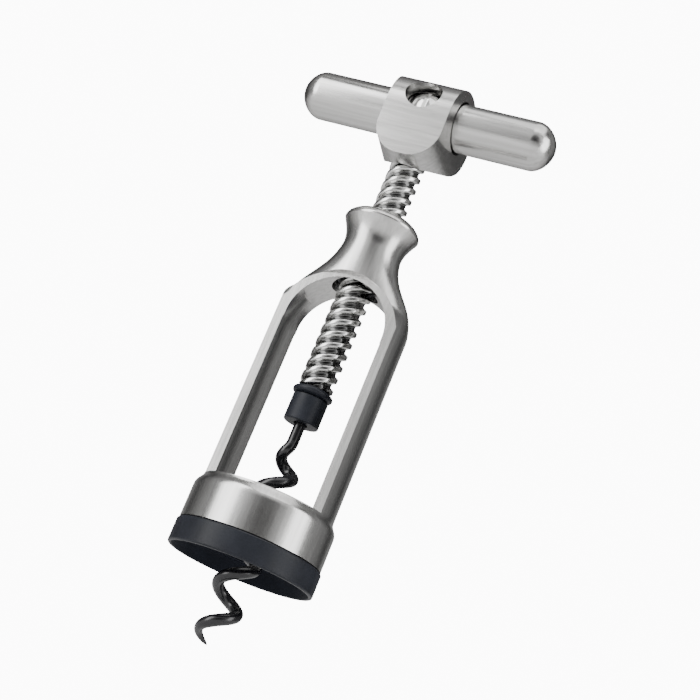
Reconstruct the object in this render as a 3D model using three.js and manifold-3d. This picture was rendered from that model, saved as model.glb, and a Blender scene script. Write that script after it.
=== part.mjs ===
// Bell corkscrew with a T handle: a threaded spindle carries a worm down through a bell frame.
// Millimetres, +Z up along the spindle axis. The origin is the centre of the bell's mouth, at the
// level of the ring's lower edge. The bar handle lies along X; the bell's windows face -Y and +Y.
import * as THREE from "three";
import { mergeVertices } from "three/addons/utils/BufferGeometryUtils.js";
import Module from "manifold-3d";

const wasm = await Module();
wasm.setup();

// ---- driving dimensions -------------------------------------------------------------------
const GAP = 0.3;             // clearance between neighbouring pieces
const MANY = 48;             // facets round the large turned parts
const FEW = 24;              // facets round the small ones
const PAST = 1;              // how far a cutter runs past the face that it cuts

const ring = { outer: 20, mouth: 18.8, seat: 12.8, height: 6.6, seatBottom: 4.2, chamfer: 0.4, dish: 0.6 };
const ringSpigot = { outer: 16.9, wall: 1.6, height: 4 };
const cup = { outer: 19.6, inner: 17.2, innerTop: 16.6, sideTop: 16, shoulderTop: 20.5, floor: 19.6 };
const bell = { legRadius: 18, legTop: 73, legHalfDepth: 6.8, bore: 15.7, boreTop: 76, boreTopRadius: 12.5,
  boreCone: 9 };
const arch = { halfWidth: 14, top: 82.7, rimRadius: 17.9, rimRise: 1.5 };
const flat = { from: 73, full: 79.5 };
const neck = { waist: 8.4, waistZ: 94, flange: 10.8, flangeZ: 101.4, crown: 7.5, crownZ: 104.2 };
const neckPull = { up: 9, down: 10, out: 1.2, above: 3, below: 2.4 };
const thread = { core: 3.7, crest: 4.85, starts: 3, lead: 10.44, perLobe: 6, stepDegrees: 24 };
const nut = { radius: 6.4, bottom: 83.5, top: 98.5 };
const bush = { height: 5.2, bore: 5.2 };

const spindle = { bottom: 45, spigot: 3.6, threadBottom: 51.9, threadTop: 124.6, stem: 4, stemTop: 129.2 };
const collar = { radius: 4.9, bottom: 41.6, top: 48.9, shankBore: 2.0, floor: 44.7, chamfer: 0.5 };
const bumper = { outer: 5.6, bottom: 49.2, top: 51.6, chamfer: 0.6 };
const worm = { wire: 1.6, coil: 3.85, pitch: 12.6, rightZ: 27.1, rightTurn: 20,
  shankTop: 44.4, bendTop: 37, bendBottom: 26, tip: -20, taperLength: 11, tipScale: 0.15 };

const hub = { z: 137.3, barrel: 12.25, drop: 1.8, halfWidth: 10.2, taper: 0.007, bottom: 17.4, corner: 9,
  bore: 7.55 };
const chin = { front: 11.5, foot: 4, back: 5.6, rise: 4.9 };
const bar = { radius: 6.95, halfLength: 38, domeLength: 6.2 };
const porthole = { radius: 5.2, tilt: 11.5 };
const screw = { head: 4.3, seat: 5.3, headHeight: 2.3, rim: 0.6, shank: 1.6, shankLength: 6,
  slot: 1.2, slotDepth: 1.3 };

// ---- materials ----------------------------------------------------------------------------
const satinSteel = new THREE.MeshStandardMaterial({ color: 0xb9b8b5, roughness: 0.34, metalness: 1 });
const brightSteel = new THREE.MeshStandardMaterial({ color: 0xd4d4d2, roughness: 0.12, metalness: 1 });
const blackNylon = new THREE.MeshStandardMaterial({ color: 0x191b20, roughness: 0.42, metalness: 0 });
const blackCoating = new THREE.MeshStandardMaterial({ color: 0x0e0e10, roughness: 0.22, metalness: 0 });
const brass = new THREE.MeshStandardMaterial({ color: 0xb08d4a, roughness: 0.3, metalness: 1 });

// ---- solids -------------------------------------------------------------------------------
function solidOf(geometry) {
  const bare = geometry.index ? geometry.toNonIndexed() : geometry.clone();
  bare.deleteAttribute("normal");
  bare.deleteAttribute("uv");
  const merged = mergeVertices(bare, 1e-4);
  const vertProperties = new Float32Array(merged.attributes.position.array);
  const triVerts = new Uint32Array(merged.index.array);
  return new wasm.Manifold(new wasm.Mesh({ numProp: 3, vertProperties, triVerts }));
}

function geometryOf(solid) {
  const mesh = solid.getMesh();
  const geometry = new THREE.BufferGeometry();
  geometry.setAttribute("position", new THREE.BufferAttribute(new Float32Array(mesh.vertProperties), 3));
  geometry.setIndex(new THREE.BufferAttribute(new Uint32Array(mesh.triVerts), 1));
  return geometry;
}

// A solid turned about Z from [radius, height] points that run from the bottom to the top.
function turned(points, segments = MANY) {
  const outline = points.map(([radius, height]) => new THREE.Vector2(radius, height));
  return solidOf(new THREE.LatheGeometry(outline, segments).rotateX(Math.PI / 2));
}

// A ring turned about Z: its outline closes on itself instead of touching the axis.
function turnedRing(points, segments = MANY) {
  return turned([...points, points[0]], segments);
}

function cylinder(radius, bottom, top, segments = FEW) {
  return turned([[0, bottom], [radius, bottom], [radius, top], [0, top]], segments);
}

// A round bar along X at the hub's height, from one x to another.
function barAlongX(radius, from, to, drop = 0, segments = FEW) {
  const geometry = new THREE.CylinderGeometry(radius, radius, to - from, segments);
  geometry.rotateZ(Math.PI / 2).translate((from + to) / 2, 0, hub.z - drop);
  return solidOf(geometry);
}

// An outline in the XZ plane, extruded from one y to another.
function extrudedAlongY(shape, from, to, curveSegments = 24) {
  const geometry = new THREE.ExtrudeGeometry(shape, { depth: to - from, bevelEnabled: false, curveSegments });
  return geometry.rotateX(Math.PI / 2).translate(0, to, 0);
}

function alongY(shape, from, to) {
  return solidOf(extrudedAlongY(shape, from, to));
}

// A window outline: straight sides from the bottom, and a round top.
function archShape(halfWidth, bottom, top) {
  const shape = new THREE.Shape();
  shape.moveTo(-halfWidth, bottom);
  shape.lineTo(halfWidth, bottom);
  shape.lineTo(halfWidth, top - halfWidth);
  shape.absarc(0, top - halfWidth, halfWidth, 0, Math.PI, false);
  shape.closePath();
  return shape;
}

// ---- the multi-start thread ---------------------------------------------------------------
// Its section has one rounded lobe for each start, and turns once in each lead.
function threadSolid(bottom, top, grow = 0) {
  const { core, crest, starts, lead, perLobe, stepDegrees } = thread;
  const middle = (crest + core) / 2 + grow;
  const swing = (crest - core) / 2;
  const count = starts * perLobe;
  const outline = Array.from({ length: count }, (_, i) => {
    const turn = (2 * Math.PI * i) / count;
    const radius = middle + swing * Math.cos(starts * turn);
    return new THREE.Vector2(radius * Math.cos(turn), radius * Math.sin(turn));
  });
  const steps = Math.ceil(((top - bottom) / lead) * (360 / stepDegrees));
  const depth = top - bottom;
  const geometry = new THREE.ExtrudeGeometry(new THREE.Shape(outline), { depth, steps, bevelEnabled: false });
  const place = geometry.attributes.position;
  const point = new THREE.Vector3();
  for (let i = 0; i < place.count; i += 1) {
    point.fromBufferAttribute(place, i);
    point.z += bottom;
    point.applyAxisAngle(new THREE.Vector3(0, 0, 1), (2 * Math.PI * point.z) / lead);
    place.setXYZ(i, point.x, point.y, point.z);
  }
  return solidOf(geometry);
}

// Points of a smooth curve between two points of an outline, drawn towards two others.
function bend(start, towards, from, end, count = 6) {
  const [a, b, c, d] = [start, towards, from, end].map(([x, y]) => new THREE.Vector2(x, y));
  return new THREE.CubicBezierCurve(a, b, c, d).getPoints(count).map((p) => [p.x, p.y]);
}

// ---- bell frame ---------------------------------------------------------------------------
function makeBellOutside() {
  const { outer, sideTop, shoulderTop } = cup;
  const { legRadius, legTop } = bell;
  const { waist, waistZ, flange, flangeZ, crown, crownZ } = neck;
  const { up, down, out, above, below } = neckPull;
  const middle = (sideTop + shoulderTop) / 2;
  const top = flangeZ - below;
  const outline = [
    [0, ring.height + GAP], [outer, ring.height + GAP],
    ...bend([outer, sideTop], [outer, middle], [legRadius, middle], [legRadius, shoulderTop], 4),
    ...bend([legRadius, legTop], [legRadius, legTop + up], [waist + out, waistZ - down], [waist, waistZ]),
    ...bend([waist, waistZ], [waist, waistZ + above], [waist + out, top], [flange, flangeZ]).slice(1),
    ...bend([flange, flangeZ], [flange, flangeZ + out], [crown + out, crownZ], [crown, crownZ]).slice(1),
    [0, crownZ],
  ].map(([radius, height]) => new THREE.Vector2(radius, height));
  return solidOf(flattened(new THREE.LatheGeometry(outline, MANY).rotateX(Math.PI / 2)));
}

// Squeezes the shoulders from front to back, until they are no deeper than the neck's waist.
function flattened(geometry) {
  const place = geometry.attributes.position;
  for (let i = 0; i < place.count; i += 1) {
    const z = place.getZ(i);
    const radius = Math.hypot(place.getX(i), place.getY(i));
    if (z < neck.waistZ && radius > neck.waist) {
      const share = THREE.MathUtils.smoothstep(z, flat.from, flat.full);
      place.setY(i, place.getY(i) * THREE.MathUtils.lerp(1, neck.waist / radius, share));
    }
  }
  return geometry;
}

// Takes the front or back off the legs, leaving a flat rim round the arch.
function makeRimCut(side) {
  const ends = [side * bell.legHalfDepth, side * (bell.legRadius + PAST)];
  const rim = archShape(arch.rimRadius, cup.floor, arch.top + arch.rimRise);
  return alongY(rim, Math.min(...ends), Math.max(...ends));
}

// Carries the rim on over the arch, where it stands proud of the shoulders.
function makeRimBand() {
  const top = arch.top + arch.rimRise;
  const rim = alongY(archShape(arch.rimRadius, cup.floor, top), -bell.legHalfDepth, bell.legHalfDepth);
  return rim.intersect(cylinder(bell.legRadius, flat.from, top + PAST, MANY));
}

// The bore leaves a channel with a pointed top on the inside of each leg.
function makeBore() {
  return turned([
    [0, cup.floor - PAST], [bell.bore, cup.floor - PAST], [bell.bore, bell.boreTop - bell.boreCone],
    [bell.boreTopRadius, bell.boreTop], [0, bell.boreTop],
  ]);
}

function makeBellFrame() {
  const { inner, innerTop, floor } = cup;
  const inside = turned([
    [0, ring.height - PAST], [inner, ring.height - PAST], [inner, innerTop],
    [bell.bore, floor - PAST], [bell.bore, floor + PAST], [0, floor + PAST],
  ]);
  const window = alongY(archShape(arch.halfWidth, floor, arch.top), -cup.outer, cup.outer);
  const seat = cylinder(nut.radius + GAP, arch.top - 2 * PAST, nut.top + GAP, MANY);
  const throat = cylinder(thread.crest + 2 * GAP, nut.top, neck.crownZ + PAST, MANY);
  let solid = makeBellOutside().subtract(makeRimCut(-1)).subtract(makeRimCut(1)).add(makeRimBand());
  for (const cutter of [inside, window, makeBore(), seat, throat]) {
    solid = solid.subtract(cutter);
  }
  return solid;
}

function makeMouthRing() {
  const { outer, mouth, seat, height, seatBottom, chamfer, dish } = ring;
  const spigot = ringSpigot.outer;
  const bore = spigot - ringSpigot.wall;
  const top = height + ringSpigot.height;
  return turnedRing([
    [mouth, 0], [outer - chamfer, 0], [outer, chamfer], [outer, height], [spigot, height],
    [spigot, top], [bore, top], [bore, height], [seat, height], [seat, seatBottom],
    [spigot, seatBottom], [mouth - dish, seatBottom - 2 * dish],
  ]);
}

function makeSpindleNut() {
  return cylinder(nut.radius, nut.bottom + bush.height + GAP, nut.top)
    .subtract(threadSolid(nut.bottom, nut.top + PAST, GAP));
}

function makeGuideBush() {
  const { height, bore } = bush;
  const top = nut.bottom + height;
  return turnedRing([[bore, nut.bottom], [nut.radius, nut.bottom], [nut.radius, top], [bore, top]], FEW);
}

// ---- spindle, collar and worm -------------------------------------------------------------
function makeSpindle() {
  const { bottom, spigot, threadBottom, threadTop, stem, stemTop } = spindle;
  return threadSolid(threadBottom, threadTop)
    .add(cylinder(spigot, bottom, threadBottom + PAST))
    .add(cylinder(stem, threadTop - PAST, stemTop));
}

function makeCollar() {
  const { radius, bottom, top, shankBore, floor, chamfer } = collar;
  const bore = spindle.spigot + GAP;
  return turnedRing([
    [shankBore, bottom], [radius - chamfer, bottom], [radius, bottom + chamfer], [radius, top],
    [bore, top], [bore, floor], [shankBore, floor],
  ], FEW);
}

function makeBumper() {
  const { outer, bottom, top, chamfer } = bumper;
  const bore = spindle.spigot + GAP;
  return turnedRing([
    [bore, bottom], [outer - chamfer, bottom], [outer, bottom + chamfer], [outer, top - chamfer],
    [outer - chamfer, top], [bore, top],
  ], FEW);
}

// The wire runs down the axis, swings out to its coil, and winds to a point below the mouth.
class WormCurve extends THREE.Curve {
  getPoint(t, target = new THREE.Vector3()) {
    const z = THREE.MathUtils.lerp(worm.shankTop, worm.tip, t);
    const out = worm.coil * (1 - THREE.MathUtils.smoothstep(z, worm.bendBottom, worm.bendTop));
    const turn = THREE.MathUtils.degToRad(worm.rightTurn + (360 * (z - worm.rightZ)) / worm.pitch);
    return target.set(out * Math.cos(turn), out * Math.sin(turn), z);
  }
}

function makeWorm() {
  const steps = 90;
  const sides = 8;
  const section = new THREE.Shape(Array.from({ length: sides }, (_, i) => {
    const turn = (2 * Math.PI * i) / sides;
    return new THREE.Vector2(worm.wire * Math.cos(turn), worm.wire * Math.sin(turn));
  }));
  const path = new WormCurve();
  const geometry = new THREE.ExtrudeGeometry(section, { steps, extrudePath: path, bevelEnabled: false });
  const centres = path.getSpacedPoints(steps);
  const length = path.getLength();
  const place = geometry.attributes.position;
  const point = new THREE.Vector3();
  for (let i = 0; i < place.count; i += 1) {
    point.fromBufferAttribute(place, i);
    const distances = centres.map((centre) => centre.distanceToSquared(point));
    const nearest = distances.indexOf(Math.min(...distances));
    const left = length * (1 - nearest / steps);
    const scale = Math.max(worm.tipScale, Math.min(1, Math.sqrt(left / worm.taperLength)));
    point.sub(centres[nearest]).multiplyScalar(scale).add(centres[nearest]);
    place.setXYZ(i, point.x, point.y, point.z);
  }
  return solidOf(geometry);
}

// ---- handle -------------------------------------------------------------------------------
// Moves a solid built along +Z from the bar's axis so that it points out through the porthole.
function throughPorthole(geometry) {
  geometry.rotateX(THREE.MathUtils.degToRad(90 - porthole.tilt)).translate(0, 0, hub.z);
  return geometry;
}

function portholeCylinder(radius, from, to) {
  const geometry = new THREE.CylinderGeometry(radius, radius, to - from, FEW);
  geometry.rotateX(Math.PI / 2).translate(0, 0, (from + to) / 2);
  return solidOf(throughPorthole(geometry));
}

// The hub's outline from the front, a U with round lower corners, carried from front to back.
// It narrows a little towards the front.
function makeHubBody() {
  const { z, barrel, halfWidth, taper, bottom, corner } = hub;
  const low = z - bottom + corner;
  const high = z + 2 * barrel;
  const inset = halfWidth - corner;
  const outline = new THREE.Shape();
  outline.moveTo(-halfWidth, high);
  outline.lineTo(-halfWidth, low);
  outline.absarc(-inset, low, corner, Math.PI, 1.5 * Math.PI, false);
  outline.absarc(inset, low, corner, 1.5 * Math.PI, 2 * Math.PI, false);
  outline.lineTo(halfWidth, high);
  outline.closePath();
  const geometry = extrudedAlongY(outline, -2 * barrel, 2 * barrel, 10);
  const place = geometry.attributes.position;
  for (let i = 0; i < place.count; i += 1) {
    place.setX(i, place.getX(i) * (1 + taper * place.getY(i)));
  }
  return solidOf(geometry);
}

// The hub's chin: the front runs down below the barrel to a flat foot, which slopes up to the back.
function makeChin() {
  const low = hub.z - hub.bottom;
  const outline = new THREE.Shape();
  outline.moveTo(-hub.barrel, hub.z - hub.drop);
  outline.lineTo(-chin.front, low);
  outline.lineTo(-chin.foot, low);
  outline.lineTo(chin.back, low + chin.rise);
  outline.lineTo(0, hub.z - hub.drop);
  outline.closePath();
  return solidOf(extrudedAlongY(outline, -hub.barrel, hub.barrel).rotateZ(Math.PI / 2));
}

// A barrel about the bar, bored for the bar and for the spindle, with a porthole for the screw.
function makeHub() {
  const { z, barrel, drop, bore } = hub;
  const outside = barAlongX(barrel, -barrel, barrel, drop, MANY).add(makeChin());
  const stemBore = cylinder(spindle.stem + GAP, z - 2 * barrel, z);
  const threadSeat = cylinder(thread.crest + GAP, z - 2 * barrel, spindle.threadTop + GAP);
  return outside.intersect(makeHubBody())
    .subtract(barAlongX(bore, -2 * barrel, 2 * barrel))
    .subtract(stemBore)
    .subtract(threadSeat)
    .subtract(portholeCylinder(porthole.radius, 0, 2 * barrel));
}

// A round bar with domed ends, spot-faced and drilled for its screw.
function makeHandleBar() {
  const { radius, halfLength, domeLength } = bar;
  const start = halfLength - domeLength;
  const middle = start + domeLength / 2;
  const right = bend([radius, start], [radius, middle], [radius / 2, halfLength], [0, halfLength], 8);
  const left = right.map(([r, h]) => [r, -h]).reverse();
  const outline = [...left, ...right].map(([r, h]) => new THREE.Vector2(r, h));
  const geometry = new THREE.LatheGeometry(outline, MANY).rotateZ(-Math.PI / 2).translate(0, 0, hub.z);
  return solidOf(geometry)
    .subtract(portholeCylinder(screw.head + GAP, screw.seat, 2 * radius))
    .subtract(portholeCylinder(screw.shank + GAP, screw.seat - screw.shankLength - GAP, 2 * radius));
}

function makeBarScrew() {
  const { head, seat, headHeight, rim, shank, shankLength, slot, slotDepth } = screw;
  const bottom = seat + GAP;
  const top = bottom + headHeight;
  const tip = seat - shankLength;
  const outline = [
    [0, tip], [shank, tip], [shank, bottom], [head, bottom],
    ...bend([head, bottom + rim], [head, top - rim], [head / 2, top], [0, top]),
  ].map(([radius, height]) => new THREE.Vector2(radius, height));
  const body = solidOf(throughPorthole(new THREE.LatheGeometry(outline, FEW).rotateX(Math.PI / 2)));
  const groove = new THREE.BoxGeometry(slot, 4 * head, 2 * slotDepth).translate(0, 0, top);
  return body.subtract(solidOf(throughPorthole(groove)));
}

// ---- assembly -----------------------------------------------------------------------------
const pieces = [
  ["bell_frame", makeBellFrame(), satinSteel],
  ["mouth_ring", makeMouthRing(), blackNylon],
  ["spindle_nut", makeSpindleNut(), brass],
  ["guide_bush", makeGuideBush(), blackNylon],
  ["spindle", makeSpindle(), brightSteel],
  ["worm_collar", makeCollar(), blackNylon],
  ["bumper_washer", makeBumper(), blackNylon],
  ["worm", makeWorm(), blackCoating],
  ["hub", makeHub(), satinSteel],
  ["handle_bar", makeHandleBar(), satinSteel],
  ["bar_screw", makeBarScrew(), brightSteel],
];

const corkscrew = new THREE.Group();
for (const [name, solid, material] of pieces) {
  const mesh = new THREE.Mesh(geometryOf(solid), material);
  mesh.name = name;
  corkscrew.add(mesh);
}

export default corkscrew;
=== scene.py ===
"""Bell corkscrew with a T handle: fine meshes, materials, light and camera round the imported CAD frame."""
import math

import bmesh
import bpy
from mathutils import Matrix, Vector


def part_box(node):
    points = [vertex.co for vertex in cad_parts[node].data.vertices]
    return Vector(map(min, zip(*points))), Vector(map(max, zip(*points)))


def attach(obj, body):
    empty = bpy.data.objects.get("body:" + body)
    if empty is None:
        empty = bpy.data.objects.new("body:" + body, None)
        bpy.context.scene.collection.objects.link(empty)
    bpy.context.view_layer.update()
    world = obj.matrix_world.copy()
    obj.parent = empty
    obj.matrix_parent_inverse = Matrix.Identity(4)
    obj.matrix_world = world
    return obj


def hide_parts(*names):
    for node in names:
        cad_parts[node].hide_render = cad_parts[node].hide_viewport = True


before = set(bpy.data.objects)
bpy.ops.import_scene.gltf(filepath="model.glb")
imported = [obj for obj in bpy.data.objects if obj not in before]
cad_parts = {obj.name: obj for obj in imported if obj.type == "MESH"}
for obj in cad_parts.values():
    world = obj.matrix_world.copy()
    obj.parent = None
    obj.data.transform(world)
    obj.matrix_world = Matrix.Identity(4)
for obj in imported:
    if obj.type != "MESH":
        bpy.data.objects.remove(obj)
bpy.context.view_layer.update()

# ---- sizes, in millimetres, in the frame of the CAD part ----------------------------------
MM = 0.001
ROUND = 160                  # facets round a large turned part
MIDDLING = 96                # facets round a small one
BARREL_ROUND = 256           # facets round the hub's barrel
GAP = 0.3                    # clearance between neighbouring pieces
PAST = 1.0                   # how far a cutter runs past the face that it cuts


def box_mm(node):
    low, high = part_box(node)
    return [value / MM for value in low], [value / MM for value in high]


BELL_LOW, BELL_HIGH = box_mm("bell_frame")
RING_LOW, RING_HIGH = box_mm("mouth_ring")
HUB_LOW, HUB_HIGH = box_mm("hub")
BAR_LOW, BAR_HIGH = box_mm("handle_bar")
SPINDLE_LOW, SPINDLE_HIGH = box_mm("spindle")
COLLAR_LOW, COLLAR_HIGH = box_mm("worm_collar")
BUMPER_LOW, BUMPER_HIGH = box_mm("bumper_washer")
BUSH_LOW, BUSH_HIGH = box_mm("guide_bush")

CUP_RADIUS = BELL_HIGH[0]
CUP_BOTTOM = BELL_LOW[2]
CUP_SIDE_TOP = 16.0
CUP_INNER = 17.2
CUP_INNER_TOP = 16.6
CUP_FLOOR = 19.6
SHOULDER_TOP = 20.5
LEG_RADIUS = 18.0
LEG_TOP = 73.0
LEG_HALF_DEPTH = 6.8
BORE_RADIUS = 15.7
BORE_TOP = 76.0
BORE_TOP_RADIUS = 12.5
BORE_CONE = 9.0
ARCH_HALF_WIDTH = 14.0
ARCH_TOP = 82.7
RIM_RADIUS = 17.9
RIM_RISE = 1.5
FLAT_RISE = (73.0, 79.5)     # where the shoulders begin to be squeezed, and where they fully are
WAIST_RADIUS = 8.4
WAIST_Z = 94.0
FLANGE_RADIUS = 10.8
FLANGE_Z = 101.4
CROWN_RADIUS = 7.5
CROWN_Z = BELL_HIGH[2]
NECK_OUT = 1.2               # how far the neck's curves lean out at the waist, the flange and the crown
PULL_UP = 9.0                # how far each end of a curve of the neck pulls on it
PULL_DOWN = 10.0
PULL_ABOVE = 3.0
PULL_BELOW = 2.4
CAST_EDGE = 0.3              # how far the edges of the bell and the hub are rounded
RING_HEIGHT = 6.6
RING_MOUTH = 18.8
RING_SEAT = 12.8
RING_SEAT_Z = 4.2
RING_SPIGOT = 16.9
RING_SPIGOT_WALL = 1.6
RING_EDGE = 0.3
RING_ROUND_EDGE = 0.5
RING_SLOPE = 1.2             # the height of the slope between the seat and the mouth's wall
BUSH_BORE = 5.2
NUT_SEAT_TOP = 98.8
THREAD_CORE = 3.7
THREAD_CREST = SPINDLE_HIGH[0]
THREAD_LEAD = 10.44
THREAD_STARTS = 3
THREAD_BOTTOM = 51.9
THREAD_TOP = 124.6
THREAD_FULLNESS = 2.8        # how square the thread's crests are; near 0 they are a plain wave
THREAD_STEP = 0.2
NUT_PLAY = 0.25
SPIGOT_RADIUS = 3.6
SPIGOT_BORE = 3.9
STEM_RADIUS = 4.0
SHANK_BORE = 2.0
COLLAR_FLOOR = 44.7
COLLAR_EDGE = 0.4
BUMPER_FULLNESS = 0.75       # the radius of the bumper's round edge, as a share of half its height
HUB_Z = (BAR_LOW[2] + BAR_HIGH[2]) / 2
HUB_RADIUS = HUB_HIGH[1]
HUB_DROP = HUB_Z + HUB_RADIUS - HUB_HIGH[2]
HUB_HALF_WIDTH = 10.2
HUB_TAPER = 0.007            # the share by which it widens for each millimetre towards the back
HUB_CORNER = 9.0
HUB_BORE = 7.55
CHIN_FRONT = 11.5
CHIN_FOOT = 4.0
CHIN_BACK = 5.6
CHIN_RISE = 4.9
BAR_DOME = 6.2
PORTHOLE_RADIUS = 5.2
PORTHOLE_TILT = math.radians(90 - 11.5)
SCREW_SEAT = 5.3
SCREW_HEAD = 4.3
SCREW_HEIGHT = 2.3
SCREW_RIM = 0.6
SCREW_SHANK = 1.6
SCREW_SLOT = 1.2
SCREW_SLOT_DEPTH = 1.3
SCREW_SHANK_LENGTH = 4.0
SCREW_EDGE = 0.2
SCREW_BEVEL = 0.12
WIRE_RADIUS = 1.6
COIL_RADIUS = 3.85
COIL_PITCH = 12.6
COIL_RIGHT_Z = 27.1
COIL_RIGHT_TURN = 20.0
WORM_TOP = 44.4
WORM_TIP = -20.0
BEND_TOP = 37.0
BEND_BOTTOM = 26.0
TAPER = 11.0                 # the length of wire that narrows to the tip
TIP_SHARE = 0.05             # the tip's radius as a share of the wire's
AXIS = 0.02                  # the radius at which a turned dome ends

# ---- materials ----------------------------------------------------------------------------


def new_material(name):
    material = bpy.data.materials.new(name)
    material.use_nodes = True
    nodes = material.node_tree.nodes
    return material, nodes, material.node_tree.links, nodes["Principled BSDF"]


def noise(nodes, links, scale, stretch=(1, 1, 1), detail=4.0):
    """A noise texture in the object's own space, in cells per metre, stretched along an axis."""
    place = nodes.new("ShaderNodeTexCoord")
    mapping = nodes.new("ShaderNodeMapping")
    mapping.inputs["Scale"].default_value = stretch
    texture = nodes.new("ShaderNodeTexNoise")
    texture.inputs["Scale"].default_value = scale
    texture.inputs["Detail"].default_value = detail
    links.new(place.outputs["Object"], mapping.inputs["Vector"])
    links.new(mapping.outputs["Vector"], texture.inputs["Vector"])
    return texture.outputs["Fac"]


def ramp(nodes, links, value, low, high, colours):
    """A colour ramp between two points of a texture's range."""
    node = nodes.new("ShaderNodeValToRGB")
    node.color_ramp.elements[0].position = low
    node.color_ramp.elements[1].position = high
    for element, colour in zip(node.color_ramp.elements, colours):
        element.color = (*colour, 1)
    links.new(value, node.inputs["Fac"])
    return node.outputs["Color"]


def spread(nodes, links, value, low, high):
    """Maps a texture's middle range to a range of roughness."""
    node = nodes.new("ShaderNodeMapRange")
    node.inputs["From Min"].default_value = 0.3
    node.inputs["From Max"].default_value = 0.7
    node.inputs["To Min"].default_value = low
    node.inputs["To Max"].default_value = high
    links.new(value, node.inputs["Value"])
    return node.outputs["Result"]


def by_radius(nodes, links, radii, values):
    """Goes from one value to another between two distances, in millimetres, from the spindle's axis."""
    place = nodes.new("ShaderNodeTexCoord")
    level = nodes.new("ShaderNodeVectorMath")
    level.operation = "MULTIPLY"
    level.inputs[1].default_value = (1, 1, 0)
    distance = nodes.new("ShaderNodeVectorMath")
    distance.operation = "LENGTH"
    node = nodes.new("ShaderNodeMapRange")
    node.inputs["From Min"].default_value, node.inputs["From Max"].default_value = [r * MM for r in radii]
    node.inputs["To Min"].default_value, node.inputs["To Max"].default_value = values
    links.new(place.outputs["Object"], level.inputs[0])
    links.new(level.outputs["Vector"], distance.inputs[0])
    links.new(distance.outputs["Value"], node.inputs["Value"])
    return node.outputs["Result"]


def bump(nodes, links, value, shader, distance, strength=1.0):
    node = nodes.new("ShaderNodeBump")
    node.inputs["Distance"].default_value = distance
    node.inputs["Strength"].default_value = strength
    links.new(value, node.inputs["Height"])
    links.new(node.outputs["Normal"], shader.inputs["Normal"])


def satin_steel(name, stretch, rough):
    """Fine-brushed steel whose scratches run along the axis that stretch makes small."""
    material, nodes, links, shader = new_material(name)
    shader.inputs["Metallic"].default_value = 1.0
    scratches = noise(nodes, links, 900, stretch, 6)
    cloud = noise(nodes, links, 60, (1, 1, 1), 3)
    steel = ((0.50, 0.495, 0.485), (0.62, 0.615, 0.605))
    links.new(ramp(nodes, links, scratches, 0.35, 0.65, steel), shader.inputs["Base Color"])
    links.new(spread(nodes, links, cloud, *rough), shader.inputs["Roughness"])
    bump(nodes, links, scratches, shader, 0.00002, 0.35)
    return material


def polished_steel(name):
    material, nodes, links, shader = new_material(name)
    shader.inputs["Metallic"].default_value = 1.0
    cloud = noise(nodes, links, 400, (1, 1, 1), 5)
    links.new(ramp(nodes, links, cloud, 0.3, 0.7, ((0.60, 0.60, 0.59), (0.74, 0.74, 0.73))),
              shader.inputs["Base Color"])
    links.new(spread(nodes, links, cloud, 0.07, 0.16), shader.inputs["Roughness"])
    return material


def threaded_steel_painted_root_shade(name):
    """Bright on the thread's crests, and darkened in its roots with painted shade, set by distance from the
    axis.
    """
    material, nodes, links, shader = new_material(name)
    shader.inputs["Metallic"].default_value = 1.0
    cloud = noise(nodes, links, 400, (1, 1, 1), 5)
    # painted shade: the base colour goes darker from the crests down into the thread's roots
    depth = by_radius(nodes, links, (THREAD_CORE, THREAD_CREST), (0, 1))
    links.new(ramp(nodes, links, depth, 0.0, 0.55, ((0.10, 0.10, 0.10), (0.66, 0.66, 0.65))),
              shader.inputs["Base Color"])
    links.new(spread(nodes, links, cloud, 0.14, 0.24), shader.inputs["Roughness"])
    return material


def moulded_nylon(name, bore=None):
    """Satin outside; inside a bore its specular level is lowered as painted shade, so the hollow reads dark.
    """
    material, nodes, links, shader = new_material(name)
    shader.inputs["Specular IOR Level"].default_value = 0.25
    if bore:
        # painted shade: the specular level drops inside the bore so that the hollow looks shadowed
        painted_bore_shade = by_radius(nodes, links, (bore + RING_EDGE / 3, bore + RING_EDGE), (0.03, 0.25))
        links.new(painted_bore_shade, shader.inputs["Specular IOR Level"])
    grain = noise(nodes, links, 3500, (1, 1, 1), 3)
    cloud = noise(nodes, links, 120, (1, 1, 1), 4)
    links.new(ramp(nodes, links, cloud, 0.3, 0.7, ((0.008, 0.009, 0.013), (0.015, 0.017, 0.024))),
              shader.inputs["Base Color"])
    links.new(spread(nodes, links, cloud, 0.38, 0.52), shader.inputs["Roughness"])
    bump(nodes, links, grain, shader, 0.00003, 0.4)
    return material


def worm_coating(name):
    material, nodes, links, shader = new_material(name)
    shader.inputs["Coat Weight"].default_value = 0.15
    shader.inputs["Coat Roughness"].default_value = 0.08
    ripple = noise(nodes, links, 220, (1, 1, 1), 2)
    links.new(ramp(nodes, links, ripple, 0.3, 0.7, ((0.004, 0.004, 0.005), (0.008, 0.008, 0.010))),
              shader.inputs["Base Color"])
    links.new(spread(nodes, links, ripple, 0.20, 0.30), shader.inputs["Roughness"])
    bump(nodes, links, ripple, shader, 0.00002, 0.1)
    return material


def machined_brass(name):
    material, nodes, links, shader = new_material(name)
    shader.inputs["Metallic"].default_value = 1.0
    rings = noise(nodes, links, 900, (0.1, 0.1, 1), 5)
    links.new(ramp(nodes, links, rings, 0.3, 0.7, ((0.52, 0.38, 0.16), (0.70, 0.54, 0.26))),
              shader.inputs["Base Color"])
    links.new(spread(nodes, links, rings, 0.22, 0.38), shader.inputs["Roughness"])
    return material


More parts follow.
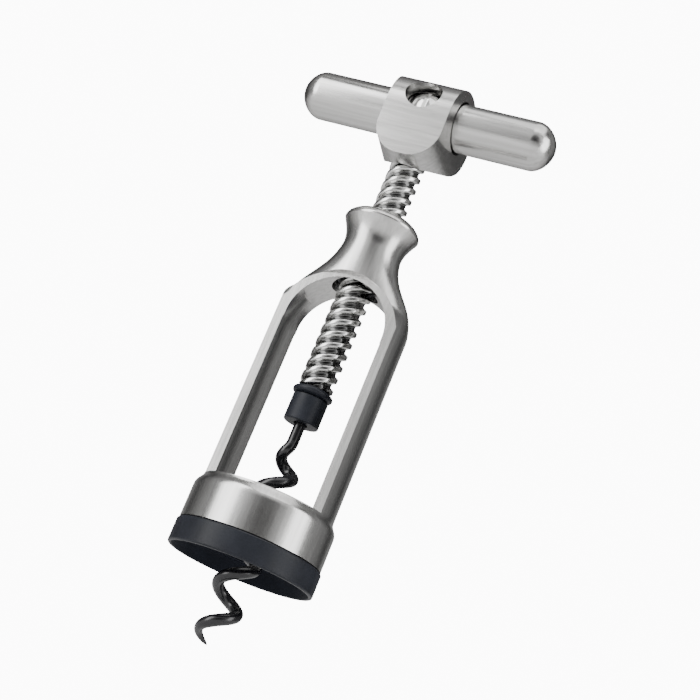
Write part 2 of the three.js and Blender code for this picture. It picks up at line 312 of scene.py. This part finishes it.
STEEL_UPRIGHT = satin_steel("satin_steel_upright", (1, 1, 0.04), (0.22, 0.26))
STEEL_ALONG_BAR = satin_steel("satin_steel_along_bar", (0.04, 1, 1), (0.20, 0.24))
STEEL_HUB = satin_steel("satin_steel_hub", (0.06, 1, 1), (0.25, 0.28))
BRIGHT_STEEL = polished_steel("polished_steel")
THREAD_STEEL_PAINTED_ROOT_SHADE = threaded_steel_painted_root_shade("threaded_steel_painted_root_shade")
NYLON = moulded_nylon("black_nylon")
RING_NYLON_PAINTED_BORE_SHADE = moulded_nylon("black_nylon_ring_painted_bore_shade", RING_MOUTH)
COATING = worm_coating("black_coating")
BRASS = machined_brass("nut_brass")

# ---- mesh tools ---------------------------------------------------------------------------


def new_object(name, points, faces):
    """An object from points in millimetres."""
    mesh = bpy.data.meshes.new(name)
    mesh.from_pydata([Vector(point) * MM for point in points], [], faces)
    mesh.validate()
    thing = bpy.data.objects.new(name, mesh)
    bpy.context.scene.collection.objects.link(thing)
    return thing


def outward(thing):
    work = bmesh.new()
    work.from_mesh(thing.data)
    bmesh.ops.recalc_face_normals(work, faces=work.faces)
    work.to_mesh(thing.data)
    work.free()
    return thing


def sweep(name, rings, closed=False):
    """Joins rings of points, each with the same count; open ends get a flat cap."""
    count = len(rings[0])
    points = [point for one in rings for point in one]
    total = len(rings)
    faces = []
    for i in range(total if closed else total - 1):
        here = i * count
        after = ((i + 1) % total) * count
        for j in range(count):
            k = (j + 1) % count
            faces.append((here + j, here + k, after + k, after + j))
    if not closed:
        faces.append(tuple(range(count))[::-1])
        faces.append(tuple(range((total - 1) * count, total * count)))
    return outward(new_object(name, points, faces))


def turned(name, profile, axis="Z", centre=(0, 0, 0), segments=ROUND, closed=False):
    """A turned solid from (radius, height) pairs. An open profile is capped at both ends."""
    rings = []
    for radius, height in profile:
        ring = []
        for j in range(segments):
            angle = 2 * math.pi * j / segments
            across, depth = radius * math.cos(angle), radius * math.sin(angle)
            place = (across, depth, height) if axis == "Z" else (height, across, depth)
            ring.append(Vector(place) + Vector(centre))
        rings.append(ring)
    return sweep(name, rings, closed)


def arc(centre, radius, start, end, count=8):
    """Points of an arc in a profile, from one angle to another in degrees."""
    return [
        (centre[0] + radius * math.cos(math.radians(start + (end - start) * i / count)),
         centre[1] + radius * math.sin(math.radians(start + (end - start) * i / count)))
        for i in range(count + 1)
    ]


def bezier(a, b, c, d, count=16):
    """Points of a cubic curve after its first one."""
    found = []
    for i in range(1, count + 1):
        t = i / count
        weights = ((1 - t) ** 3, 3 * t * (1 - t) ** 2, 3 * t * t * (1 - t), t ** 3)
        found.append(tuple(sum(w * p[k] for w, p in zip(weights, (a, b, c, d))) for k in (0, 1)))
    return found


def prism_along_y(name, outline, start, end, taper=0.0):
    """An outline of (x, z) pairs extruded from one y to another, wider towards +Y by its taper."""
    return sweep(name, [[(x * (1 + taper * y), y, z) for x, z in outline] for y in (start, end)])


def arch(half_width, bottom, top, count=64):
    centre = (0, top - half_width)
    return [(-half_width, bottom), (half_width, bottom)] + arc(centre, half_width, 0, 180, count)


def combine(thing, other, operation="DIFFERENCE"):
    """Cuts thing by other, or keeps what they share, and removes other."""
    step = thing.modifiers.new("step", "BOOLEAN")
    step.object = other
    step.operation = operation
    step.solver = "EXACT"
    mesh = bpy.data.meshes.new_from_object(thing.evaluated_get(bpy.context.evaluated_depsgraph_get()))
    thing.modifiers.clear()
    thing.data = mesh
    bpy.data.objects.remove(other)
    return thing


def finish_piece(thing, material, body, nodes, bevel=0.0, angle=35):
    """Rounds the edges, shades the piece smooth and hands it to the frame."""
    if bevel:
        step = thing.modifiers.new("edges", "BEVEL")
        step.width = bevel * MM
        step.segments = 3
        step.limit_method = "ANGLE"
        step.angle_limit = math.radians(angle)
        step.use_clamp_overlap = True
        step.harden_normals = True
    thing.data.shade_smooth()
    thing.data.set_sharp_from_angle(angle=math.radians(angle))
    thing.data.materials.clear()
    thing.data.materials.append(material)
    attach(thing, body)
    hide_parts(*nodes)
    return thing


# ---- bell ---------------------------------------------------------------------------------


def smooth_step(value, start, end):
    t = min(1, max(0, (value - start) / (end - start)))
    return t * t * (3 - 2 * t)


def bell_outline():
    middle = (CUP_SIDE_TOP + SHOULDER_TOP) / 2
    shoulder = [(CUP_RADIUS, CUP_SIDE_TOP)] + bezier(
        (CUP_RADIUS, CUP_SIDE_TOP), (CUP_RADIUS, middle), (LEG_RADIUS, middle), (LEG_RADIUS, SHOULDER_TOP))
    flare = [(LEG_RADIUS, LEG_TOP)] + bezier(
        (LEG_RADIUS, LEG_TOP), (LEG_RADIUS, LEG_TOP + PULL_UP),
        (WAIST_RADIUS + NECK_OUT, WAIST_Z - PULL_DOWN), (WAIST_RADIUS, WAIST_Z), 48)
    throat = bezier(
        (WAIST_RADIUS, WAIST_Z), (WAIST_RADIUS, WAIST_Z + PULL_ABOVE),
        (WAIST_RADIUS + NECK_OUT, FLANGE_Z - PULL_BELOW), (FLANGE_RADIUS, FLANGE_Z))
    crown = bezier(
        (FLANGE_RADIUS, FLANGE_Z), (FLANGE_RADIUS, FLANGE_Z + NECK_OUT),
        (CROWN_RADIUS + NECK_OUT, CROWN_Z), (CROWN_RADIUS, CROWN_Z))
    return [(CUP_RADIUS, CUP_BOTTOM)] + shoulder + flare + throat + crown


def squeeze_shoulders(bell):
    """Flattens the shoulders from front to back, until they are no deeper than the neck's waist."""
    for vertex in bell.data.vertices:
        height = vertex.co.z / MM
        radius = math.hypot(vertex.co.x, vertex.co.y) / MM
        if height < WAIST_Z and radius > WAIST_RADIUS:
            vertex.co.y *= 1 + (WAIST_RADIUS / radius - 1) * smooth_step(height, *FLAT_RISE)


def make_bell():
    bell = turned("bell", bell_outline())
    squeeze_shoulders(bell)
    rim = arch(RIM_RADIUS, CUP_FLOOR, ARCH_TOP + RIM_RISE)
    for side in (-1, 1):
        bell = combine(bell, prism_along_y("rim", rim, side * LEG_HALF_DEPTH, side * 2 * LEG_RADIUS))
    band = prism_along_y("rim_band", rim, -LEG_HALF_DEPTH, LEG_HALF_DEPTH)
    leg_round = [(LEG_RADIUS, FLAT_RISE[0]), (LEG_RADIUS, ARCH_TOP + 2 * RIM_RISE)]
    band = combine(band, turned("leg_round", leg_round), "INTERSECT")
    bell = combine(bell, band, "UNION")
    window = arch(ARCH_HALF_WIDTH, CUP_FLOOR, ARCH_TOP)
    bell = combine(bell, prism_along_y("window", window, -2 * LEG_RADIUS, 2 * LEG_RADIUS))
    bell = combine(bell, turned("inside", [
        (CUP_INNER, CUP_BOTTOM - PAST), (CUP_INNER, CUP_INNER_TOP), (BORE_RADIUS, CUP_FLOOR - PAST),
        (BORE_RADIUS, BORE_TOP - BORE_CONE), (BORE_TOP_RADIUS, BORE_TOP)]))
    seat = BUSH_HIGH[0] + GAP
    bell = combine(bell, turned("seat", [(seat, ARCH_TOP - 2 * PAST), (seat, NUT_SEAT_TOP)]))
    throat = THREAD_CREST + 2 * GAP
    bell = combine(bell, turned("throat", [(throat, NUT_SEAT_TOP - PAST), (throat, CROWN_Z + PAST)]))
    return finish_piece(bell, STEEL_UPRIGHT, "bell", ["bell_frame"], bevel=CAST_EDGE)


def make_ring():
    outer, bottom, top = RING_HIGH[0], RING_LOW[2], RING_HEIGHT
    inner = RING_SPIGOT - RING_SPIGOT_WALL
    small, bend = RING_EDGE, RING_ROUND_EDGE
    profile = [(RING_MOUTH, bottom + small), (RING_MOUTH + small, bottom), (outer - bend, bottom)]
    profile += arc((outer - bend, bottom + bend), bend, -90, 0)[1:]
    profile += [(outer, top - small), (outer - small, top), (RING_SPIGOT, top), (RING_SPIGOT, RING_HIGH[2])]
    profile += [(inner, RING_HIGH[2]), (inner, top), (RING_SEAT, top), (RING_SEAT, RING_SEAT_Z)]
    profile += [(RING_SPIGOT, RING_SEAT_Z), (RING_MOUTH - 2 * small, RING_SEAT_Z - RING_SLOPE)]
    ring = turned("ring", profile, closed=True)
    return finish_piece(ring, RING_NYLON_PAINTED_BORE_SHADE, "bell", ["mouth_ring"])


def make_bush():
    inner, outer, small = BUSH_BORE, BUSH_HIGH[0], RING_EDGE
    bottom, top = BUSH_LOW[2], BUSH_HIGH[2]
    profile = [(inner, bottom + small), (inner + small, bottom), (outer - small, bottom)]
    profile += [(outer, bottom + small), (outer, top), (inner, top)]
    bush = turned("bush", profile, closed=True)
    return finish_piece(bush, NYLON, "bell", ["guide_bush"])


# ---- spindle, collar and worm -------------------------------------------------------------


def thread_ring(height, plain=None, grow=0.0):
    """One section of the spindle, whose lobes turn once in each lead, or a plain circle."""
    ring = []
    middle = (THREAD_CREST + THREAD_CORE) / 2 + grow
    swing = (THREAD_CREST - THREAD_CORE) / 2 / math.tanh(THREAD_FULLNESS)
    for j in range(MIDDLING):
        angle = 2 * math.pi * j / MIDDLING
        lobe = math.cos(THREAD_STARTS * (angle - 2 * math.pi * height / THREAD_LEAD))
        radius = plain or middle + swing * math.tanh(THREAD_FULLNESS * lobe)
        ring.append((radius * math.cos(angle), radius * math.sin(angle), height))
    return ring


def thread_rings(bottom, top, grow=0.0):
    count = int((top - bottom) / THREAD_STEP)
    return [thread_ring(bottom + (top - bottom) * i / count, grow=grow) for i in range(count + 1)]


def make_spindle():
    rings = [thread_ring(SPINDLE_LOW[2], SPIGOT_RADIUS), thread_ring(THREAD_BOTTOM, SPIGOT_RADIUS)]
    rings += thread_rings(THREAD_BOTTOM, THREAD_TOP)
    rings += [thread_ring(THREAD_TOP, STEM_RADIUS), thread_ring(SPINDLE_HIGH[2], STEM_RADIUS)]
    spindle = sweep("threaded_spindle", rings)
    return finish_piece(spindle, THREAD_STEEL_PAINTED_ROOT_SHADE, "spindle", ["spindle"], angle=60)


def make_nut():
    """The nut is cut with the same thread, a little larger than the spindle's."""
    low, high = box_mm("spindle_nut")
    nut = turned("nut", [(high[0], low[2]), (high[0], high[2])], segments=MIDDLING)
    nut = combine(nut, sweep("nut_thread", thread_rings(low[2] - PAST, high[2] + PAST, NUT_PLAY)))
    return finish_piece(nut, BRASS, "bell", ["spindle_nut"])


def make_collar():
    outer, bottom, top = COLLAR_HIGH[0], COLLAR_LOW[2], COLLAR_HIGH[2]
    small = COLLAR_EDGE
    profile = [(SHANK_BORE, bottom), (outer - small, bottom)]
    profile += arc((outer - small, bottom + small), small, -90, 0)[1:]
    profile += [(outer, top), (SPIGOT_BORE, top), (SPIGOT_BORE, COLLAR_FLOOR), (SHANK_BORE, COLLAR_FLOOR)]
    collar = turned("collar", profile, segments=MIDDLING, closed=True)
    return finish_piece(collar, NYLON, "spindle", ["worm_collar"])


def make_bumper():
    outer, bottom, top = BUMPER_HIGH[0], BUMPER_LOW[2], BUMPER_HIGH[2]
    half = (top - bottom) / 2
    curve = half * BUMPER_FULLNESS
    edge = arc((outer - curve, bottom + half), curve, -70, 70, 12)
    inset = outer - half
    profile = [(SPIGOT_BORE, bottom), (inset, bottom)] + edge + [(inset, top), (SPIGOT_BORE, top)]
    bumper = turned("bumper", profile, segments=MIDDLING, closed=True)
    return finish_piece(bumper, NYLON, "bumper", ["bumper_washer"])


def worm_centre(height):
    """The wire's centre at a height: down the axis, out to the coil, and round."""
    out = COIL_RADIUS * (1 - smooth_step(height, BEND_BOTTOM, BEND_TOP))
    turn = math.radians(COIL_RIGHT_TURN + 360 * (height - COIL_RIGHT_Z) / COIL_PITCH)
    return Vector((out * math.cos(turn), out * math.sin(turn), height))


def make_worm():
    count, sides = 420, 28
    centres = [worm_centre(WORM_TOP + (WORM_TIP - WORM_TOP) * i / count) for i in range(count + 1)]
    left = [0.0]
    for a, b in zip(reversed(centres[:-1]), reversed(centres[1:])):
        left.append(left[-1] + (a - b).length)
    left.reverse()
    side = Vector((1, 0, 0))
    rings = []
    for i, centre in enumerate(centres):
        along = (centres[min(i + 1, count)] - centres[max(i - 1, 0)]).normalized()
        side = (side - along * side.dot(along)).normalized()
        other = along.cross(side)
        radius = WIRE_RADIUS * max(TIP_SHARE, min(1, math.sqrt(left[i] / TAPER)))
        turns = [2 * math.pi * j / sides for j in range(sides)]
        rings.append([centre + radius * (math.cos(a) * side + math.sin(a) * other) for a in turns])
    worm = sweep("worm_wire", rings)
    return finish_piece(worm, COATING, "spindle", ["worm"], angle=60)


# ---- handle -------------------------------------------------------------------------------


def through_porthole(thing):
    """Moves a piece built along +Z from the bar's axis to point out through the porthole."""
    turn = Matrix.Translation((0, 0, HUB_Z * MM)) @ Matrix.Rotation(PORTHOLE_TILT, 4, "X")
    thing.data.transform(turn)
    return thing


def porthole_cylinder(name, radius, start, end):
    return through_porthole(turned(name, [(radius, start), (radius, end)]))


def make_hub():
    reach = 2 * HUB_RADIUS
    middle = HUB_Z - HUB_DROP
    hub = turned("hub_barrel", [(HUB_RADIUS, -reach), (HUB_RADIUS, reach)], "X", (0, 0, middle), BARREL_ROUND)
    low = HUB_LOW[2]
    chin = [(-HUB_RADIUS, middle), (-CHIN_FRONT, low), (-CHIN_FOOT, low)]
    chin += [(CHIN_BACK, low + CHIN_RISE), (0, middle)]
    rings = [[(x, y, z) for y, z in chin] for x in (-HUB_RADIUS, HUB_RADIUS)]
    hub = combine(hub, sweep("chin", rings), "UNION")
    inset = HUB_HALF_WIDTH - HUB_CORNER
    outline = [(HUB_HALF_WIDTH, HUB_Z + reach), (-HUB_HALF_WIDTH, HUB_Z + reach)]
    outline += arc((-inset, low + HUB_CORNER), HUB_CORNER, 180, 270, 32)
    outline += arc((inset, low + HUB_CORNER), HUB_CORNER, 270, 360, 32)
    hub = combine(hub, prism_along_y("hub_outline", outline, -reach, reach, HUB_TAPER), "INTERSECT")
    hub = combine(hub, turned("bar_bore", [(HUB_BORE, -reach), (HUB_BORE, reach)], "X", (0, 0, HUB_Z)))
    thread, stem = THREAD_CREST + GAP, STEM_RADIUS + GAP
    hub = combine(hub, turned("thread_seat", [(thread, HUB_Z - reach), (thread, THREAD_TOP + GAP)]))
    hub = combine(hub, turned("stem_bore", [(stem, THREAD_TOP), (stem, HUB_Z)]))
    hub = combine(hub, porthole_cylinder("porthole", PORTHOLE_RADIUS, 0, reach))
    return finish_piece(hub, STEEL_HUB, "spindle", ["hub"], bevel=CAST_EDGE)


def make_bar():
    radius = BAR_HIGH[2] - HUB_Z
    half = BAR_HIGH[0]
    start = half - BAR_DOME
    dome = [(radius, start)] + bezier(
        (radius, start), (radius, half - BAR_DOME / 2), (radius / 2, half), (AXIS, half), 32)
    profile = [(r, -x) for r, x in reversed(dome)] + dome
    rod = turned("bar", profile, "X", (0, 0, HUB_Z))
    rod = combine(rod, porthole_cylinder("spot_face", SCREW_HEAD + GAP, SCREW_SEAT, 2 * radius))
    return finish_piece(rod, STEEL_ALONG_BAR, "spindle", ["handle_bar"])


def make_screw():
    bottom = SCREW_SEAT + GAP
    top = bottom + SCREW_HEIGHT
    profile = [(SCREW_SHANK, bottom - SCREW_SHANK_LENGTH), (SCREW_SHANK, bottom)]
    profile += [(SCREW_HEAD - SCREW_EDGE, bottom), (SCREW_HEAD, bottom + SCREW_EDGE)]
    profile += [(SCREW_HEAD, bottom + SCREW_RIM)]
    profile += bezier((SCREW_HEAD, bottom + SCREW_RIM), (SCREW_HEAD, top - SCREW_RIM),
                      (SCREW_HEAD / 2, top), (AXIS, top))
    head = turned("screw_head", profile, segments=MIDDLING)
    half, depth, reach = SCREW_SLOT / 2, SCREW_SLOT_DEPTH, 2 * SCREW_HEAD
    slot = [(-half, top - depth), (half, top - depth), (half, top + PAST), (-half, top + PAST)]
    head = through_porthole(combine(head, prism_along_y("slot", slot, -reach, reach)))
    return finish_piece(head, BRIGHT_STEEL, "spindle", ["bar_screw"], bevel=SCREW_BEVEL)


make_bell()
make_ring()
make_bush()
make_spindle()
make_nut()
make_collar()
make_bumper()
make_worm()
make_hub()
make_bar()
make_screw()

# ---- floor, light and camera, in metres ---------------------------------------------------
VIEW_TURN = math.radians(20)
CAMERA_DISTANCE = 0.382      # from the spindle's axis, level
CAMERA_HEIGHT = -0.052
CAMERA_PITCH = math.radians(17.15)
CAMERA_PAN = math.radians(0.69)
CAMERA_ROLL = math.radians(22.5)
CAMERA_LENS = 76.5
FLOOR_Z = -0.075
FLOOR_REACH = 3.0
AIM_Z = 0.065                # the middle of the object, which the lights point at


def make_floor():
    reach = FLOOR_REACH
    corners = [(-reach, -reach), (reach, -reach), (reach, reach), (-reach, reach)]
    floor = new_object("floor", [(x / MM, y / MM, FLOOR_Z / MM) for x, y in corners], [(0, 1, 2, 3)])
    material, nodes, links, shader = new_material("pale_floor")
    grain = noise(nodes, links, 6, (1, 1, 1), 3)
    links.new(ramp(nodes, links, grain, 0.3, 0.7, ((0.80, 0.80, 0.80), (0.84, 0.84, 0.84))),
              shader.inputs["Base Color"])
    shader.inputs["Roughness"].default_value = 0.8
    shader.inputs["Emission Color"].default_value = (0.95, 0.95, 0.95, 1)
    shader.inputs["Emission Strength"].default_value = 0.2
    floor.data.materials.append(material)


def make_world():
    """A pale backdrop when seen directly. In reflections the studio is bright round a narrow dark gap on the
    front view's side, and dimmer elsewhere. Its bands go from behind the object, 0, to that side, 1."""
    world = bpy.data.worlds.new("studio")
    bpy.context.scene.world = world
    world.use_nodes = True
    nodes, links = world.node_tree.nodes, world.node_tree.links
    place = nodes.new("ShaderNodeTexCoord")
    dot = nodes.new("ShaderNodeVectorMath")
    dot.operation = "DOT_PRODUCT"
    dot.inputs[1].default_value = (math.sin(VIEW_TURN), -math.cos(VIEW_TURN), 0)
    links.new(place.outputs["Generated"], dot.inputs[0])
    scale = nodes.new("ShaderNodeMapRange")
    scale.inputs["From Min"].default_value = -1
    links.new(dot.outputs["Value"], scale.inputs["Value"])
    bands = nodes.new("ShaderNodeValToRGB")
    levels = ((0.0, 0.5), (0.15, 0.03), (0.42, 0.35), (0.62, 0.04), (0.78, 0.8), (0.90, 1.0), (0.965, 0.15),
              (1.0, 0.01))
    while len(bands.color_ramp.elements) < len(levels):
        bands.color_ramp.elements.new(0.5)
    for element, (position, level) in zip(bands.color_ramp.elements, levels):
        element.position = position
        element.color = (level, level, level, 1)
    links.new(scale.outputs["Result"], bands.inputs["Fac"])
    pale = nodes.new("ShaderNodeBackground")
    pale.inputs["Color"].default_value = (0.95, 0.95, 0.95, 1)
    pale.inputs["Strength"].default_value = 12.0
    studio = nodes["Background"]
    links.new(bands.outputs["Color"], studio.inputs["Color"])
    studio.inputs["Strength"].default_value = 0.9
    path = nodes.new("ShaderNodeLightPath")
    mix = nodes.new("ShaderNodeMixShader")
    links.new(path.outputs["Is Camera Ray"], mix.inputs["Fac"])
    links.new(studio.outputs["Background"], mix.inputs[1])
    links.new(pale.outputs["Background"], mix.inputs[2])
    links.new(mix.outputs["Shader"], nodes["World Output"].inputs["Surface"])


def make_light(name, turn, height, distance, size, power):
    """A softbox at an angle from the front of the view, aimed at the middle of the object."""
    data = bpy.data.lights.new(name, "AREA")
    data.shape = "RECTANGLE"
    data.size, data.size_y = size
    data.energy = power
    light = bpy.data.objects.new(name, data)
    bpy.context.scene.collection.objects.link(light)
    angle = VIEW_TURN + math.radians(turn)
    light.location = (distance * math.sin(angle), -distance * math.cos(angle), height)
    aim = Vector((0, 0, AIM_Z)) - light.location
    light.rotation_euler = aim.to_track_quat("-Z", "Y").to_euler()


def make_camera():
    data = bpy.data.cameras.new("camera")
    data.sensor_width = 36
    data.lens = CAMERA_LENS
    camera = bpy.data.objects.new("camera", data)
    bpy.context.scene.collection.objects.link(camera)
    camera.location = (CAMERA_DISTANCE * math.sin(VIEW_TURN), -CAMERA_DISTANCE * math.cos(VIEW_TURN),
                       CAMERA_HEIGHT)
    heading = VIEW_TURN - CAMERA_PAN
    forward = Vector((-math.sin(heading) * math.cos(CAMERA_PITCH), math.cos(heading) * math.cos(CAMERA_PITCH),
                      math.sin(CAMERA_PITCH)))
    turn = forward.to_track_quat("-Z", "Y").to_matrix() @ Matrix.Rotation(CAMERA_ROLL, 3, "Z")
    camera.rotation_euler = turn.to_euler()
    bpy.context.scene.camera = camera


make_floor()
make_world()
make_light("key_left", -62, 0.25, 0.7, (0.4, 1.2), 8)
make_light("fill_right", 58, 0.10, 0.8, (0.4, 1.2), 6.5)
make_light("top", 10, 0.9, 0.3, (0.8, 0.8), 4)
make_camera()
